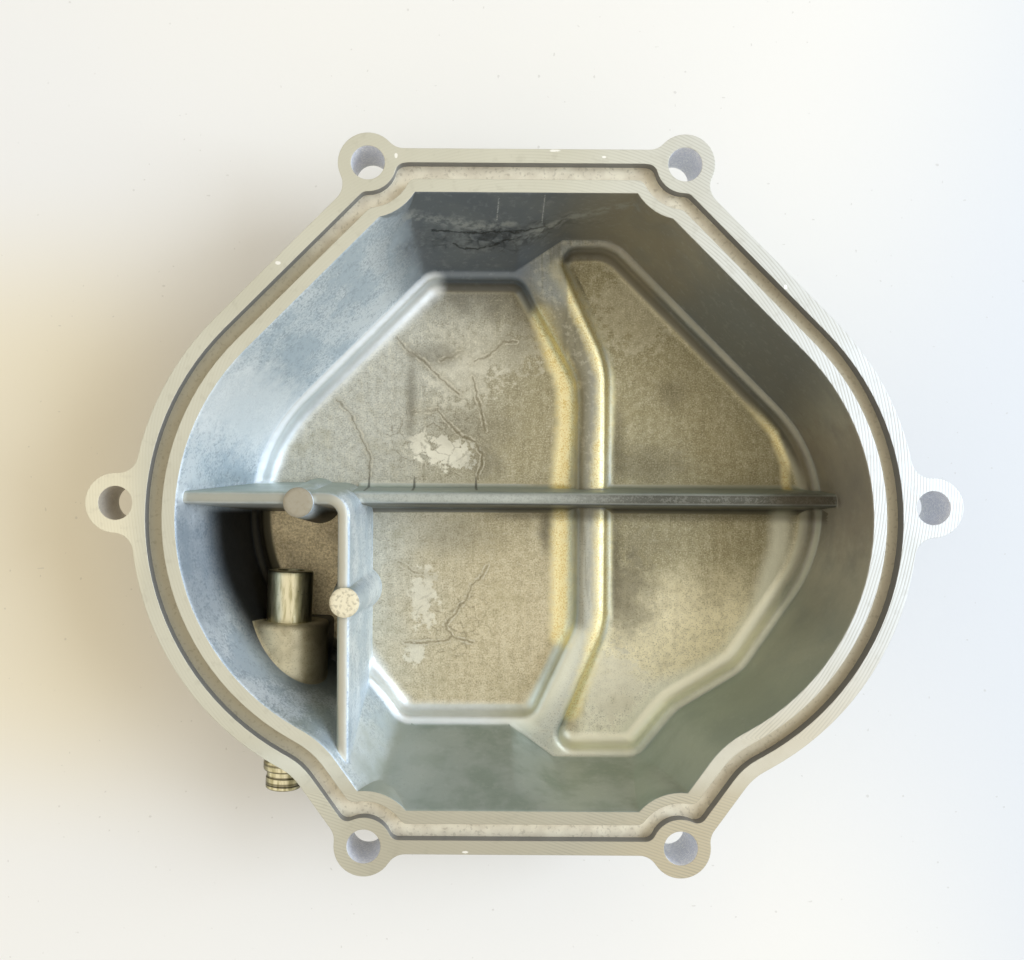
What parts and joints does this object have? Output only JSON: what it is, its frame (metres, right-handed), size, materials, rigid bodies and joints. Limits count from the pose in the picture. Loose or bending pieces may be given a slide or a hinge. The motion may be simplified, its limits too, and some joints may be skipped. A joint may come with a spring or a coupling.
{
  "type": "breather cover",
  "caption": "Die-cast aluminium case cover with a machined flange, bolt ears, a seal groove, recessed panels, a breather chamber and a steel breather tube.",
  "frame": {"origin": "centre of the bolt pattern on the machined joint face", "axes": "+Z out of the open side towards the case, +X along the line of the two side bolts, the breather tube leaves towards -Y"},
  "size_m": [0.1756, 0.1488, 0.0375],
  "materials": {
    "cast_aluminium": "as-cast, grey and stained inside, with a fine-milled joint face",
    "plated_steel": "turned, yellow-green passivated plating"
  },
  "bodies": {
    "root": {"cover_casting": "cast_aluminium", "breather_tube": "plated_steel"}
  },
  "joints": []
}
